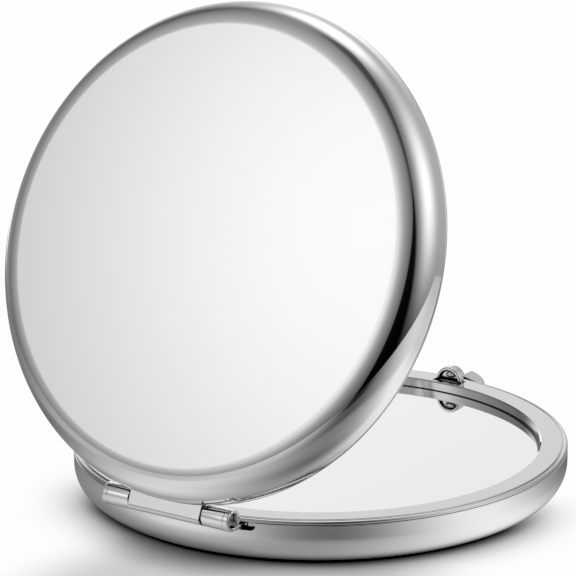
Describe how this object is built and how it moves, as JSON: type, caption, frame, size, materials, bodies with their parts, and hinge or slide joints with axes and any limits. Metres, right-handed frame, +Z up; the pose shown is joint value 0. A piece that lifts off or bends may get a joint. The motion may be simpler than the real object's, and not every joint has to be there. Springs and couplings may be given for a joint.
{
  "type": "compact mirror",
  "caption": "Round chrome-plated folding compact with two facing mirrors, a three-knuckle hinge at the back and a thumb-button latch at the front.",
  "frame": {"origin": "centre of the flat underside of the base", "axes": "+Z up out of the base mirror, +Y towards the hinge, -Y towards the thumb button, +X along the hinge to the right seen from the button"},
  "size_m": [0.07, 0.079, 0.0733],
  "materials": {
    "shell_chrome": "bright chrome plate, polished smooth",
    "bezel_chrome": "bright chrome plate on a cast ring",
    "hinge_chrome": "bright chrome plate on rolled sheet",
    "latch_chrome": "bright chrome plate",
    "mirror_glass": "silvered glass",
    "pad_foam": "thin adhesive foam",
    "tray_plastic": "moulded, fine matt grain",
    "bare_steel": "bare steel, drawn or stamped"
  },
  "bodies": {
    "base": {"base_shell": "shell_chrome", "base_bezel": "bezel_chrome", "base_mirror": "mirror_glass", "base_mirror_pad": "pad_foam", "base_tray": "tray_plastic", "hinge_base_leaf": "hinge_chrome", "hinge_base_rivets": "bare_steel", "hinge_pin": "bare_steel", "latch_guide": "bare_steel", "latch_spring": "bare_steel"},
    "lid": {"lid_shell": "shell_chrome", "lid_bezel": "bezel_chrome", "lid_mirror": "mirror_glass", "lid_mirror_pad": "pad_foam", "lid_tray": "tray_plastic", "hinge_lid_leaf": "hinge_chrome", "hinge_lid_rivets": "bare_steel"},
    "latch": {"latch_hook": "latch_chrome", "latch_button": "latch_chrome"}
  },
  "joints": [
    {"name": "lid_hinge", "type": "hinge", "parent": "base", "child": "lid", "pos_m": [0, 0.0357, 0.00715], "axis": [-1, 0, 0], "range_deg": [-66.4, 108.6]},
    {"name": "button_press", "type": "slide", "parent": "base", "child": "latch", "axis": [0, 1, 0], "range_m": [0, 0.00075], "stiffness_N_per_m": 400, "springref_m": -0.0015, "deforming": ["latch_spring"]}
  ]
}
